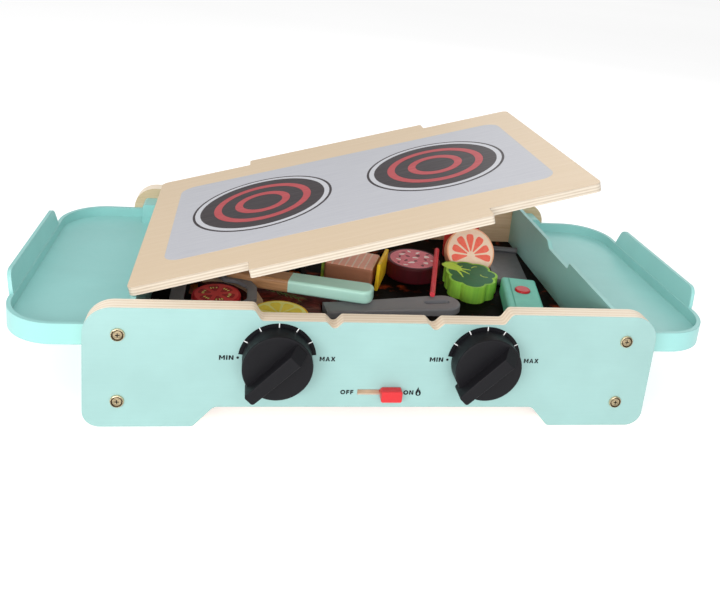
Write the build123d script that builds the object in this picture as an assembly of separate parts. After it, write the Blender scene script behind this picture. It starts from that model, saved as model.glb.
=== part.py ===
from build123d import *
import math
import os

os.makedirs("parts", exist_ok=True)

# Toy table-top barbecue grill, millimetres, +Z up, X to the right, front towards -Y.
# The origin is on the surface the grill stands on, midway between its four feet.

# ---------------------------------------------------------------- driving dimensions
W = 380.0            # width of the front and back panels
D = 240.0            # depth over both panels
H = 84.0             # height of the panels
T = 12.0             # plywood thickness of the panels
YF = -D / 2          # front face
YB = D / 2           # back face
FOOT_OUT, FOOT_IN, FOOT_H = 121.0, 108.0, 14.5
R_TOP, R_BOT = 18.0, 11.0
REC_D, REC_B, REC_T = 7.4, 80.5, 85.0   # recess for the board's tabs
NOTCH_X, NOTCH_W, NOTCH_D = 33.5, 11.0, 4.0

SCREW_X, SCREW_Z1, SCREW_Z2 = 168.5, 65.5, 18.7
PILOT_R = 1.5        # core of the wood screws
CLEAR_R = 2.1        # screw hole through a panel

WALL_IN, WALL_T = 159.5, 3.5            # side wall of the plastic side shelf
WALL_Z0, WALL_Z1 = 4.0, 84.0
BLOCK_X, BLOCK_Y, BLOCK_Z = 181.0, 18.0, 75.0   # corner blocks that take the panel screws
FINGER_Y0, FINGER_Y1, FINGER_D = -29.0, 14.0, 5.5
SHELF_X, SHELF_R = 246.0, 36.0          # outer edge and corner radius of the shelf
SHELF_Z0, SHELF_Z1, SHELF_RIM = 55.0, 58.0, 66.0
RIM_Z0, RIM_T = 51.5, 3.0
LIP_Z, LIP_Y0, LIP_Y1, LIP_OUT = 81.0, -64.0, 56.0, 3.0

FLOOR_Z = 45.0       # top of the ember floor
FLOOR_T = 4.0

KNOB_X, KNOB_Z = 69.0, 49.8
KNOB_R, KNOB_H = 22.5, 12.5
GRIP_W, GRIP_H, GRIP_REACH = 9.6, 8.6, 25.0      # bar across the knob's face
SHAFT_R, SHAFT_HOLE_R = 4.0, 4.06
POCKET_R, POCKET_D = 10.0, 5.0          # pocket behind each knob for its washer and screw

SLOT_Z, SLOT_L, SLOT_W = 25.8, 29.4, 3.8
STEM_L, STEM_W = 13.8, 3.6
BUTTON_L, BUTTON_HT, BUTTON_OUT = 14.2, 7.6, 6.5
SWITCH_X = 7.7       # centre of the button at rest, at the ON end

BOARD_L, BOARD_D, BOARD_T = 316.0, 212.0, 6.0
TAB_L, TAB_D = 159.5, 13.0
# rest pose of the board: its left edge lies along the top of the left wall, its right side on the bottle's cap
BOARD_YAW, BOARD_PITCH, BOARD_ROLL = 0.0, 0.0, -15.5
_slope = math.tan(math.radians(-BOARD_ROLL))
BOARD_CX, BOARD_CY = -13.6, 1.0
BOARD_AT = (BOARD_CX, BOARD_CY, WALL_Z1 + 0.05 + BOARD_T / math.cos(math.radians(BOARD_ROLL)) + (BOARD_CX + WALL_IN + WALL_T) * _slope)


# ---------------------------------------------------------------- helpers
def rounded(points, radii):
    """Closed flat outline with one corner radius per point."""
    n = len(points)
    if sum(points[i - 1][0] * points[i][1] - points[i][0] * points[i - 1][1] for i in range(n)) < 0:
        points = list(reversed(points))
        if isinstance(radii, (list, tuple)):
            radii = list(reversed(radii))
    cut = []
    for i in range(n):
        p, a, b = points[i], points[i - 1], points[(i + 1) % n]
        r = radii[i] if isinstance(radii, (list, tuple)) else radii
        va, vb = (a[0] - p[0], a[1] - p[1]), (b[0] - p[0], b[1] - p[1])
        la, lb = math.hypot(*va), math.hypot(*vb)
        ua, ub = (va[0] / la, va[1] / la), (vb[0] / lb, vb[1] / lb)
        cosang = max(-1.0, min(1.0, ua[0] * ub[0] + ua[1] * ub[1]))
        half = math.acos(cosang) / 2
        if r <= 0 or abs(half - math.pi / 2) < 1e-4:
            cut.append((p, None, p))
            continue
        d = r / math.tan(half)
        s = (p[0] + ua[0] * d, p[1] + ua[1] * d)
        e = (p[0] + ub[0] * d, p[1] + ub[1] * d)
        bis = (ua[0] + ub[0], ua[1] + ub[1])
        lbis = math.hypot(*bis)
        c = (p[0] + bis[0] / lbis * r / math.sin(half), p[1] + bis[1] / lbis * r / math.sin(half))
        m = (c[0] - bis[0] / lbis * r, c[1] - bis[1] / lbis * r)
        cut.append((s, m, e))
    edges = []
    for i in range(n):
        s, m, e = cut[i]
        if m is not None:
            edges.append(ThreePointArc((s[0], s[1]), (m[0], m[1]), (e[0], e[1])))
        nxt = cut[(i + 1) % n][0]
        if math.hypot(nxt[0] - e[0], nxt[1] - e[1]) > 1e-5:
            edges.append(Line((e[0], e[1]), (nxt[0], nxt[1])))
    return Face(Wire(edges))


def slab(face, z0, z1):
    """A flat outline raised from z0 to z1."""
    return Pos(0, 0, z0) * extrude(face, z1 - z0)


def upright(face, y0, y1):
    """An outline drawn in X and Z, filled from y0 to y1."""
    return Pos(0, y1, 0) * Rot(90, 0, 0) * extrude(face, y1 - y0)


def box(x0, x1, y0, y1, z0, z1):
    return Pos((x0 + x1) / 2, (y0 + y1) / 2, (z0 + z1) / 2) * Box(abs(x1 - x0), abs(y1 - y0), abs(z1 - z0))


def cyl_y(x, z, r, y0, y1):
    return Pos(x, (y0 + y1) / 2, z) * Rot(90, 0, 0) * Cylinder(r, abs(y1 - y0))


def cyl_z(x, y, r, z0, z1):
    return Pos(x, y, (z0 + z1) / 2) * Cylinder(r, z1 - z0)


def rod(p, q, r):
    v = (q[0] - p[0], q[1] - p[1], q[2] - p[2])
    length = math.sqrt(v[0] ** 2 + v[1] ** 2 + v[2] ** 2)
    plane = Plane(origin=p, z_dir=v)
    return plane.location * (Pos(0, 0, length / 2) * Cylinder(r, length))


def soften(shape, r, edges=None):
    """Round edges, keeping the shape unchanged where a radius does not fit."""
    try:
        out = fillet(edges if edges is not None else shape.edges(), r)
        if out.is_valid and out.volume > 0:
            return out
    except Exception:
        pass
    return shape


def matmul(a, b):
    return [[sum(a[i][k] * b[k][j] for k in range(3)) for j in range(3)] for i in range(3)]


def turned(yaw, pitch, roll):
    y, p, r = math.radians(yaw), math.radians(pitch), math.radians(roll)
    rz = [[math.cos(y), -math.sin(y), 0], [math.sin(y), math.cos(y), 0], [0, 0, 1]]
    rx = [[1, 0, 0], [0, math.cos(p), -math.sin(p)], [0, math.sin(p), math.cos(p)]]
    ry = [[math.cos(r), 0, math.sin(r)], [0, 1, 0], [-math.sin(r), 0, math.cos(r)]]
    return matmul(matmul(rz, rx), ry)


def placed(at, yaw, pitch, roll):
    m = turned(yaw, pitch, roll)
    return Plane(origin=at, x_dir=(m[0][0], m[1][0], m[2][0]), z_dir=(m[0][2], m[1][2], m[2][2])).location


nodes = {}


def node(name, *shapes):
    if len(shapes) == 1:
        s = shapes[0]
        solids = s.solids()
        s = solids[0] if len(solids) == 1 else Compound(children=list(solids))
    else:
        solids = []
        for item in shapes:
            solids += list(item.solids())
        s = Compound(children=solids)
    nodes[name] = s
    return s


# ---------------------------------------------------------------- front and back panels
def panel_outline():
    pts, rad = [], []

    def add(x, z, r):
        pts.append((x, z))
        rad.append(r)

    add(-W / 2, 0, R_BOT)
    add(-FOOT_OUT, 0, 4)
    add(-FOOT_IN, FOOT_H, 6)
    add(FOOT_IN, FOOT_H, 6)
    add(FOOT_OUT, 0, 4)
    add(W / 2, 0, R_BOT)
    add(W / 2, H, R_TOP)
    add(REC_T, H, 3.6)
    add(REC_B, H - REC_D, 3.2)
    for s in (1, -1):
        x = s * NOTCH_X
        add(x + NOTCH_W / 2, H - REC_D, 2.2)
        add(x, H - REC_D - NOTCH_D - 1.8, 3.0)
        add(x - NOTCH_W / 2, H - REC_D, 2.2)
    add(-REC_B, H - REC_D, 3.2)
    add(-REC_T, H, 3.6)
    add(-W / 2, H, R_TOP)
    return rounded(pts, rad)


outline = panel_outline()
front = upright(outline, YF, YF + T)
back = upright(outline, YB - T, YB)

for sx in (-1, 1):
    for z in (SCREW_Z1, SCREW_Z2):
        front -= cyl_y(sx * SCREW_X, z, CLEAR_R, YF - 1, YF + T + 1)
        back -= cyl_y(sx * SCREW_X, z, CLEAR_R, YB - T - 1, YB + 1)
    front -= cyl_y(sx * KNOB_X, KNOB_Z, SHAFT_HOLE_R, YF - 1, YF + T + 1)
    front -= cyl_y(sx * KNOB_X, KNOB_Z, POCKET_R, YF + T - POCKET_D, YF + T + 1)
front -= box(-SLOT_L / 2, SLOT_L / 2, YF - 1, YF + T + 1, SLOT_Z - SLOT_W / 2, SLOT_Z + SLOT_W / 2)
node("front_panel", front)
node("back_panel", back)


# ---------------------------------------------------------------- cup washers and screws of the panels
def cup_washer(x, z, y_face, out):
    """Turned cup washer: a flared ring on the face of a panel. out is -1 at the front, 1 at the back."""
    prof = [(CLEAR_R, 0.0), (4.5, 0.0), (4.2, 1.0), (3.6, 1.35), (3.0, 0.85), (CLEAR_R, 0.35)]
    ring = revolve(Plane.XZ * Face(Wire([Line(prof[i], prof[(i + 1) % len(prof)]) for i in range(len(prof))])), Axis.Z, 360)
    return Pos(x, y_face, z) * Rot(90 if out < 0 else -90, 0, 0) * ring


def wood_screw(x, z, y_face, out, length):
    """Countersunk cross-head screw seated in its cup washer."""
    prof = [(0, 1.15), (1.3, 1.1), (2.9, 0.85), (1.95, 0.30), (1.95, -1.2), (PILOT_R, -1.8), (PILOT_R, -length + 3), (0.3, -length), (0, -length)]
    body = revolve(Plane.XZ * Face(Wire([Line(prof[i], prof[(i + 1) % len(prof)]) for i in range(len(prof))])), Axis.Z, 360)
    cross = Pos(0, 0, 1.0) * (Box(2.9, 0.6, 1.3) + Box(0.6, 2.9, 1.3))
    body = body - cross
    return Pos(x, y_face, z) * Rot(90 if out < 0 else -90, 0, 0) * body


spots = [(sx * SCREW_X, z) for sx in (-1, 1) for z in (SCREW_Z1, SCREW_Z2)]
node("cup_washers_front", *[cup_washer(x, z, YF, -1) for x, z in spots])
node("cup_washers_back", *[cup_washer(x, z, YB, 1) for x, z in spots])
node("panel_screws_front", *[wood_screw(x, z, YF, -1, 24) for x, z in spots])
node("panel_screws_back", *[wood_screw(x, z, YB, 1, 24) for x, z in spots])


# ---------------------------------------------------------------- side shelves with their wall
def side_shelf(s):
    """One moulding: the box's side wall, two end flanges with screw bosses, and the shelf with its rim and outer lip. s is -1 or 1."""
    yi = YB - T - 0.05          # meets the inner faces of the panels
    x0, x1 = WALL_IN, WALL_IN + WALL_T
    wall_face = rounded(
        [(-yi, WALL_Z0), (yi, WALL_Z0), (yi, WALL_Z1), (FINGER_Y1 + 4, WALL_Z1), (FINGER_Y1 - 3, WALL_Z1 - FINGER_D),
         (FINGER_Y0, WALL_Z1 - FINGER_D), (FINGER_Y0 - 2.5, WALL_Z1), (-yi, WALL_Z1)],
        [0, 0, 0, 6, 5, 1.0, 1.0, 0])
    # drawn in Y and Z: the outline's first axis runs along Y
    wall = Plane(origin=(x0, 0, 0), x_dir=(0, 1, 0), z_dir=(1, 0, 0)).location * extrude(wall_face, WALL_T)
    body = wall
    for sy in (-1, 1):
        fy0, fy1 = (yi - BLOCK_Y, yi) if sy > 0 else (-yi, -yi + BLOCK_Y)
        body += upright(rounded([(x1 - 0.5, 8), (BLOCK_X, 8), (BLOCK_X, BLOCK_Z), (x1 - 0.5, BLOCK_Z)], [0, 3, 3, 0]), fy0, fy1)
    # shelf plate and rim
    ys = yi
    plan = rounded([(x1 - 0.5, -ys), (SHELF_X, -ys), (SHELF_X, ys), (x1 - 0.5, ys)], [0, SHELF_R, SHELF_R, 0])
    inner = rounded([(x1 - 20, -ys + RIM_T), (SHELF_X - RIM_T, -ys + RIM_T), (SHELF_X - RIM_T, ys - RIM_T), (x1 - 20, ys - RIM_T)],
                    [0, SHELF_R - RIM_T, SHELF_R - RIM_T, 0])
    plate = slab(plan, SHELF_Z0, SHELF_Z1)
    rim = slab(plan, RIM_Z0, SHELF_RIM) - slab(inner, RIM_Z0 - 1, SHELF_RIM + 1)
    body += plate + rim
    # outer lip, leaning outwards
    lip_side = rounded([(LIP_Y0 - 4, SHELF_RIM - 3), (LIP_Y1 + 4, SHELF_RIM - 3), (LIP_Y1 + 4, SHELF_RIM + 2), (LIP_Y1, LIP_Z), (LIP_Y0, LIP_Z), (LIP_Y0 - 4, SHELF_RIM + 2)],
                       [0, 0, 3, 7, 7, 3])
    run = Plane(origin=(SHELF_X - 12, 0, 0), x_dir=(0, 1, 0), z_dir=(1, 0, 0)).location * extrude(lip_side, 30)
    lean = LIP_OUT
    sec = [(SHELF_X - RIM_T, SHELF_RIM - 3), (SHELF_X, SHELF_RIM - 3), (SHELF_X + lean, LIP_Z), (SHELF_X + lean - RIM_T + 0.4, LIP_Z)]
    prism = upright(Face(Wire([Line(sec[i], sec[(i + 1) % 4]) for i in range(4)])), LIP_Y0 - 5, LIP_Y1 + 5)
    body += prism & run
    # pilot holes for the panel screws
    for sy in (-1, 1):
        for z in (SCREW_Z1, SCREW_Z2):
            a, b = (yi - 15, yi + 1) if sy > 0 else (-yi - 1, -yi + 15)
            body -= cyl_y(SCREW_X, z, PILOT_R, a, b)
    # ribs under the shelf that carry it from the wall
    for y in (-45, 0, 45):
        rib = upright(Face(Wire([Line((x1 - 0.5, 22), (x1 + 26, SHELF_Z0 + 0.5)), Line((x1 + 26, SHELF_Z0 + 0.5), (x1 - 0.5, SHELF_Z0 + 0.5)), Line((x1 - 0.5, SHELF_Z0 + 0.5), (x1 - 0.5, 22))])), y - 1.5, y + 1.5)
        body += rib
    # ledge inside the box that carries the floor
    body += box(x0 - 6, x0 + 0.5, -70, 70, FLOOR_Z - FLOOR_T - 3, FLOOR_Z - FLOOR_T)
    if s < 0:
        body = mirror(body, Plane.YZ)
    return body


node("side_shelf_right", side_shelf(1))
node("side_shelf_left", side_shelf(-1))

# ---------------------------------------------------------------- ember floor and what carries it
FZ0 = FLOOR_Z - FLOOR_T
floor = slab(rounded([(-WALL_IN + 0.2, YF + T + 0.1), (WALL_IN - 0.2, YF + T + 0.1), (WALL_IN - 0.2, YB - T - 0.1), (-WALL_IN + 0.2, YB - T - 0.1)], 2), FZ0, FLOOR_Z)
# windows through which the sliding ember print shows
WINDOWS = [(-128, -6, 58), (-92, 30, 62), (-50, 22, 60), (-6, 34, 50), (54, -42, 22), (72, -70, 26), (104, -88, 20), (30, 62, 40), (122, 82, 30)]
for wx, wy, wl in WINDOWS:
    floor -= slab(rounded([(wx - 5, wy - wl / 4), (wx + 5, wy - wl / 4), (wx + 5, wy + wl / 4), (wx - 5, wy + wl / 4)], 4.9), FZ0 - 1, FLOOR_Z + 1)
node("ember_floor", floor)

CL = 10.0
node("floor_cleat_front_left", box(-150, -34, YF + T + 0.05, YF + T + CL, FZ0 - 12, FZ0))
node("floor_cleat_front_right", box(34, 150, YF + T + 0.05, YF + T + CL, FZ0 - 12, FZ0))
node("floor_cleat_back", box(-150, 150, YB - T - CL, YB - T - 0.05, FZ0 - 12, FZ0))


def small_screw_up(x, y, z, length):
    """Pan-head screw driven upwards, its head under z."""
    prof = [(0, -1.8), (1.6, -1.8), (2.4, -1.2), (2.6, 0), (1.2, 0), (1.2, length - 2), (0.2, length), (0, length)]
    body = revolve(Plane.XZ * Face(Wire([Line(prof[i], prof[(i + 1) % len(prof)]) for i in range(len(prof))])), Axis.Z, 360)
    return Pos(x, y, z) * body


def pilot_up(x, y, z, length):
    return cyl_z(x, y, 1.2, z - 0.5, z + length)


cleat_spots = [(x, YF + T + CL / 2) for x in (-125, -60, 60, 125)] + [(x, YB - T - CL / 2) for x in (-125, 0, 125)]
for name in ("floor_cleat_front_left", "floor_cleat_front_right", "floor_cleat_back"):
    for x, y in cleat_spots:
        nodes[name] = nodes[name] - pilot_up(x, y, FZ0 - 12, 13)
    node(name, nodes[name])
for x, y in cleat_spots:
    nodes["ember_floor"] = nodes["ember_floor"] - pilot_up(x, y, FZ0, 3.0)
node("ember_floor", nodes["ember_floor"])
node("floor_screws", *[small_screw_up(x, y, FZ0 - 12, 15) for x, y in cleat_spots])

# the sliding ember print under the floor, its two guides and the switch
SH_Z1 = FZ0 - 0.4
SH_T = 2.0
SH_Y = 96.0
shutter = box(-138, 138, -SH_Y + 14, SH_Y - 6, SH_Z1 - SH_T, SH_Z1)
tongue = box(SWITCH_X - 9, SWITCH_X + 9, -SH_Y + 2, -SH_Y + 14.5, SH_Z1 - SH_T, SH_Z1)
shutter += tongue
for x in (SWITCH_X - 5, SWITCH_X + 5):
    shutter -= cyl_z(x, -SH_Y + 7, 1.25, SH_Z1 - SH_T - 1, SH_Z1 + 1)
node("ember_shutter", shutter)


def guide(y0, y1, lip0, lip1):
    """A grooved batten that carries one long edge of the shutter."""
    g = box(-112, 112, y0, y1, SH_Z1 - SH_T - 3.4, FZ0)
    g -= box(-113, 113, lip0, lip1, SH_Z1 - SH_T - 0.4, FZ0 + 1)
    return g


node("shutter_guide_back", guide(SH_Y - 12, SH_Y - 1, SH_Y - 13, SH_Y - 5.6))
gl = guide(-SH_Y + 9, -SH_Y + 20, -SH_Y + 13.6, -SH_Y + 21)
gl -= box(-32, 32, -SH_Y + 8, -SH_Y + 22, 20, FZ0 + 1)
node("shutter_guide_front", gl)
guide_spots = [(x, SH_Y - 3.2) for x in (-90, 0, 90)] + [(x, -SH_Y + 11.2) for x in (-90, -50, 50, 90)]
for name in ("shutter_guide_back", "shutter_guide_front"):
    for x, y in guide_spots:
        nodes[name] = nodes[name] - pilot_up(x, y, SH_Z1 - SH_T - 3.4, 9)
    node(name, nodes[name])
for x, y in guide_spots:
    nodes["ember_floor"] = nodes["ember_floor"] - pilot_up(x, y, FZ0, 2.6)
node("ember_floor", nodes["ember_floor"])
node("guide_screws", *[small_screw_up(x, y, SH_Z1 - SH_T - 3.4, 8.2) for x, y in guide_spots])

# red button: its head in front of the panel, its stem through the slot
button = upright(rounded([(SWITCH_X - BUTTON_L / 2, SLOT_Z - BUTTON_HT / 2 - 0.6), (SWITCH_X + BUTTON_L / 2, SLOT_Z - BUTTON_HT / 2 - 0.6),
                          (SWITCH_X + BUTTON_L / 2, SLOT_Z + BUTTON_HT / 2), (SWITCH_X - BUTTON_L / 2, SLOT_Z + BUTTON_HT / 2)], 1.4), YF - BUTTON_OUT, YF - 0.3)
button = soften(button, 1.0, button.faces().sort_by(Axis.Y)[0].edges())
button += box(SWITCH_X - STEM_L / 2, SWITCH_X + STEM_L / 2, YF - 0.5, YF + T + 1.4, SLOT_Z - STEM_W / 2, SLOT_Z + STEM_W / 2)
for x in (SWITCH_X - 3.8, SWITCH_X + 3.8):
    button -= cyl_y(x, SLOT_Z, 0.8, YF + T - 5, YF + T + 2)
node("switch_button", button)
# slider behind the panel: an upright plate with a foot screwed under the shutter's tongue
slider = box(SWITCH_X - 12, SWITCH_X + 12, YF + T + 1.4, YF + T + 3.4, 17.0, SH_Z1 - SH_T)
slider += box(SWITCH_X - 9, SWITCH_X + 9, YF + T + 3.0, -SH_Y + 10.5, SH_Z1 - SH_T - 2.0, SH_Z1 - SH_T)
for x in (SWITCH_X - 3.8, SWITCH_X + 3.8):
    slider -= cyl_y(x, SLOT_Z, 1.0, YF + T + 1, YF + T + 5)
for x in (SWITCH_X - 5, SWITCH_X + 5):
    slider -= cyl_z(x, -SH_Y + 7, 1.25, SH_Z1 - SH_T - 3, SH_Z1)
node("switch_slider", slider)


def small_screw_y(x, z, y, length):
    """Pan-head screw driven towards the front, its head behind y."""
    prof = [(0, 1.5), (1.3, 1.5), (2.0, 0.9), (2.1, 0), (0.8, 0), (0.8, -length + 1), (0.1, -length), (0, -length)]
    body = revolve(Plane.XZ * Face(Wire([Line(prof[i], prof[(i + 1) % len(prof)]) for i in range(len(prof))])), Axis.Z, 360)
    return Pos(x, y, z) * Rot(-90, 0, 0) * body


node("switch_screws", *[small_screw_y(x, SLOT_Z, YF + T + 3.4, 7.5) for x in (SWITCH_X - 3.8, SWITCH_X + 3.8)],
     *[Pos(0, 0, 0) * (cyl_z(x, -SH_Y + 7, 1.2, SH_Z1 - SH_T - 2.0, SH_Z1 - 0.1) + cyl_z(x, -SH_Y + 7, 2.4, SH_Z1 - SH_T - 3.6, SH_Z1 - SH_T - 2.0)) for x in (SWITCH_X - 5, SWITCH_X + 5)])


# ---------------------------------------------------------------- knobs
def knob(x):
    """Disc with a raised diagonal grip whose square lower end reaches past the disc, and a shaft behind."""
    y_back = YF - 0.6
    disc = cyl_y(x, KNOB_Z, KNOB_R, y_back - KNOB_H, y_back)
    disc = soften(disc, 1.0, disc.faces().sort_by(Axis.Y)[0].edges())
    # the grip's sides close slightly towards its square end, and its other end slopes down to the disc's rim
    grip = rounded([(-GRIP_REACH, -GRIP_W / 2 + 0.7), (KNOB_R - 1.6, -GRIP_W / 2), (KNOB_R - 1.6, GRIP_W / 2), (-GRIP_REACH, GRIP_W / 2 - 0.7)],
                   [1.9, 0.8, 0.8, 1.9])
    bar = extrude(grip, 5.5 + GRIP_H)
    slope = Face(Wire([Line(p, q) for p, q in (((14.4, 6.5 + GRIP_H), (14.4, 5.5 + GRIP_H)), ((14.4, 5.5 + GRIP_H), (KNOB_R - 1.4, 5.6)), ((KNOB_R - 1.4, 5.6), (KNOB_R + 4, 5.6)),
                                             ((KNOB_R + 4, 5.6), (KNOB_R + 4, 6.5 + GRIP_H)), ((KNOB_R + 4, 6.5 + GRIP_H), (14.4, 6.5 + GRIP_H)))]))
    bar -= upright(slope, -10, 10)
    bar = soften(bar, 0.7, bar.faces().sort_by(Axis.Z)[-1].edges())
    # outline drawn in X and Z, turned so that the square end looks down to the left
    bar = Pos(x, y_back - KNOB_H + 5.5, KNOB_Z) * Rot(0, -45, 0) * Rot(90, 0, 0) * bar
    k = disc + bar
    k += cyl_y(x, KNOB_Z, SHAFT_R, y_back - 1, YF + T - POCKET_D + 0.35)
    k += cyl_y(x, KNOB_Z, 8.0, y_back - 1, YF - 0.05)
    k -= cyl_y(x, KNOB_Z, 1.3, YF - 4, YF + T)
    return k


def knob_washer(x):
    return cyl_y(x, KNOB_Z, 8.0, YF + T - POCKET_D + 0.35, YF + T - POCKET_D + 1.35) - cyl_y(x, KNOB_Z, 1.6, YF, YF + T + 3)


def knob_screw(x):
    y = YF + T - POCKET_D + 1.35
    s = cyl_y(x, KNOB_Z, 1.25, YF - 3, y) + cyl_y(x, KNOB_Z, 3.0, y, y + 2.0)
    s -= Pos(x, y + 2.0, KNOB_Z) * (Box(2.9, 1.6, 0.6) + Box(0.6, 1.6, 2.9))
    return s


for side, sx in (("left", -1), ("right", 1)):
    node("knob_" + side, knob(sx * KNOB_X))
    node("knob_washer_" + side, knob_washer(sx * KNOB_X))
    node("knob_screw_" + side, knob_screw(sx * KNOB_X))

# ---------------------------------------------------------------- cooktop board, lying askew on what it covers
hl, hd, ht = BOARD_L / 2, BOARD_D / 2, TAB_L / 2
board = extrude(rounded(
    [(-hl, -hd), (-ht, -hd), (-ht, -hd - TAB_D), (ht, -hd - TAB_D), (ht, -hd), (hl, -hd),
     (hl, hd), (ht, hd), (ht, hd + TAB_D), (-ht, hd + TAB_D), (-ht, hd), (-hl, hd)],
    [5, 1.5, 2, 2, 1.5, 5, 5, 1.5, 2, 2, 1.5, 5]), -BOARD_T)
board_loc = placed(BOARD_AT, BOARD_YAW, BOARD_PITCH, BOARD_ROLL)
node("cooktop_board", board_loc * board)


def under_board(x, y):
    """Height of the board's underside over a point, for what holds it up."""
    m = turned(BOARD_YAW, BOARD_PITCH, BOARD_ROLL)
    n = (m[0][2], m[1][2], m[2][2])
    o = [BOARD_AT[i] - n[i] * BOARD_T for i in range(3)]
    return o[2] - (n[0] * (x - o[0]) + n[1] * (y - o[1])) / n[2]


# ---------------------------------------------------------------- contents: tools
# turner: grey open head round the tomato, wooden handle with a painted end
def turner():
    a = (-104.0, -24.0)
    b = (1.0, -58.0)
    z_a, z_b = 69.6, 71.6           # top of the handle at its two ends
    dx, dy, dz = b[0] - a[0], b[1] - a[1], z_b - z_a
    length = math.sqrt(dx * dx + dy * dy + dz * dz)
    ux = (dx / length, dy / length, dz / length)
    up = (-ux[0] * ux[2], -ux[1] * ux[2], 1 - ux[2] * ux[2])
    loc = Plane(origin=(a[0], a[1], z_a), x_dir=ux, z_dir=up).location
    # local frame: x along the handle, z up from its top face
    bar = extrude(rounded([(0, -6.8), (30, -8.2), (length, -9.2), (length, 9.2), (30, 8.2), (0, 6.8)], [3, 20, 7, 7, 20, 3]), -10.0)
    bar = soften(bar, 2.2, bar.faces().filter_by(Axis.Z).edges())
    bar -= Pos(-1, 0, -6.1) * Box(36, 30, 3.4)       # the slot that takes the tang
    bar -= Pos(8, 0, -7) * Cylinder(1.3, 16)
    tang = Pos(8.5, 0, -6.1) * Box(17, 8, 3.0) - Pos(8, 0, -6.1) * Cylinder(1.3, 6)
    return loc, bar, tang, length


t_loc, t_bar, t_tang, t_len = turner()
node("turner_screw", t_loc * (Pos(8, 0, -4.5) * Cylinder(1.25, 9.0) + Pos(8, 0, 0.5) * Cylinder(2.9, 1.0) - Pos(8, 0, 1.0) * (Box(2.8, 0.6, 1.0) + Box(0.6, 2.8, 1.0))))
HEAD_Z = 62.0
head_face = rounded([(-99, -30), (-103, -17), (-113, -9), (-131, -8), (-142.5, -26), (-142.5, -70), (-134, -77), (-96, -77), (-82.5, -66), (-82.5, -46), (-88, -34)],
                    [3, 5, 8, 8, 14, 6, 6, 12, 10, 10, 5])
head_hole = rounded([(-107, -33), (-114, -21), (-127, -19), (-133, -30), (-133, -68), (-129, -73.4), (-96, -73.4), (-89.5, -66), (-89.5, -44), (-97, -36)],
                    [5, 6, 6, 10, 5, 5, 8, 6, 8, 6])
node("turner_handle", t_loc * t_bar - slab(head_face, HEAD_Z - 0.3, HEAD_Z + 3.3))
node("turner_head", t_loc * t_tang + slab(head_face, HEAD_Z, HEAD_Z + 3.0) - slab(head_hole, HEAD_Z - 1, HEAD_Z + 4))

# serving spatula: grey handle with a hanging slot, its blade under the steak
SP_A = (-32.0, -66.0)
SP_B = (56.0, -54.5)
sp_len = math.hypot(SP_B[0] - SP_A[0], SP_B[1] - SP_A[1])
sp_yaw = math.degrees(math.atan2(SP_B[1] - SP_A[1], SP_B[0] - SP_A[0]))
sp_face = rounded([(-2, -8.0), (30, -8.6), (sp_len - 6, -11.5), (sp_len + 12, -11.5), (sp_len + 12, 11.5), (sp_len - 6, 11.5), (30, 8.6), (-2, 8.0)],
                  [1, 30, 30, 11.4, 11.4, 30, 30, 1])
sp_slot = rounded([(sp_len - 16, -2.9), (sp_len + 4, -2.9), (sp_len + 4, 2.9), (sp_len - 16, 2.9)], 2.85)
SP_Z = 54.8
sp_bar = extrude(sp_face, 5.5) - Pos(0, 0, -1) * extrude(sp_slot, 8)
sp_bar = soften(sp_bar, 1.5, sp_bar.faces().sort_by(Axis.Z)[-1].outer_wire().edges())
sp_loc = Pos(SP_A[0], SP_A[1], SP_Z) * Rot(0, 0, sp_yaw)
spatula = sp_loc * sp_bar
neck_loc = Pos(SP_A[0], SP_A[1], 0) * Rot(0, 0, sp_yaw)
spatula += neck_loc * box(-2.4, 1.4, -7.9, 7.9, FLOOR_Z + 0.3, 60.0)
spatula += slab(rounded([(-31, -74), (-40, -79), (-50, -86), (-84, -86), (-84, -49), (-50, -49), (-40, -56), (-32, -58.5)], [0, 6, 10, 6, 6, 10, 6, 0]), FLOOR_Z + 0.3, FLOOR_Z + 2.5)
node("serving_spatula", spatula)

# red skewer stick lying across the spatula's handle and the salami
node("skewer_stick", rod((48.0, -48.0, 62.7), (72.0, 42.0, 61.4), 2.0))

# warming rack: a grey plate held between two rods
rack_loc = Pos(135.5, 43.0, 0) * Rot(0, 0, -8)
node("rack_plate", rack_loc * (box(-15, 15, -33, 33, FLOOR_Z + 0.2, FLOOR_Z + 2.4) + box(-15, -11, -33, 33, FLOOR_Z + 0.2, FLOOR_Z + 4.5)))
node("rack_rods", rack_loc * rod((-14.5, -36.4, FLOOR_Z + 3.4), (14.5, -36.4, FLOOR_Z + 3.4), 3.0), rack_loc * rod((-19, 36.4, FLOOR_Z + 3.4), (16.5, 36.4, FLOOR_Z + 3.4), 3.0))

# ---------------------------------------------------------------- contents: play food
FT = 14.0            # usual thickness of the wooden play food
FB = FLOOR_Z + 0.1


def blob(points, r):
    return rounded(points, r)


TOMATO_X, TOMATO_Y, TOMATO_R = -111.0, -54.0, 17.4
tomato = cyl_z(TOMATO_X, TOMATO_Y, TOMATO_R, FB, FLOOR_Z + 17.6)
node("tomato_slice", soften(tomato, 1.6, tomato.edges().filter_by(GeomType.CIRCLE)))

steak_pts = [(-128, -15), (-114, -3), (-101, -5.5), (-80, -18.7), (-50, -25.8), (-24, -36.5), (-23, -52.5), (-36.4, -55.5), (-36.7, -78), (-38, -93), (-56, -102), (-78, -101), (-89, -86), (-90, -58), (-98, -34), (-122, -27)]
steak = slab(blob(steak_pts, [8, 8, 12, 30, 30, 7, 4, 2, 8, 6, 8, 8, 8, 12, 12, 8]), FLOOR_Z + 2.8, FLOOR_Z + 12.5)
steak = soften(steak, 1.5, steak.faces().sort_by(Axis.Z)[-1].edges())
steak -= cyl_z(TOMATO_X, TOMATO_Y, TOMATO_R + 0.6, FLOOR_Z, FLOOR_Z + 20)
node("steak", steak)

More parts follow.
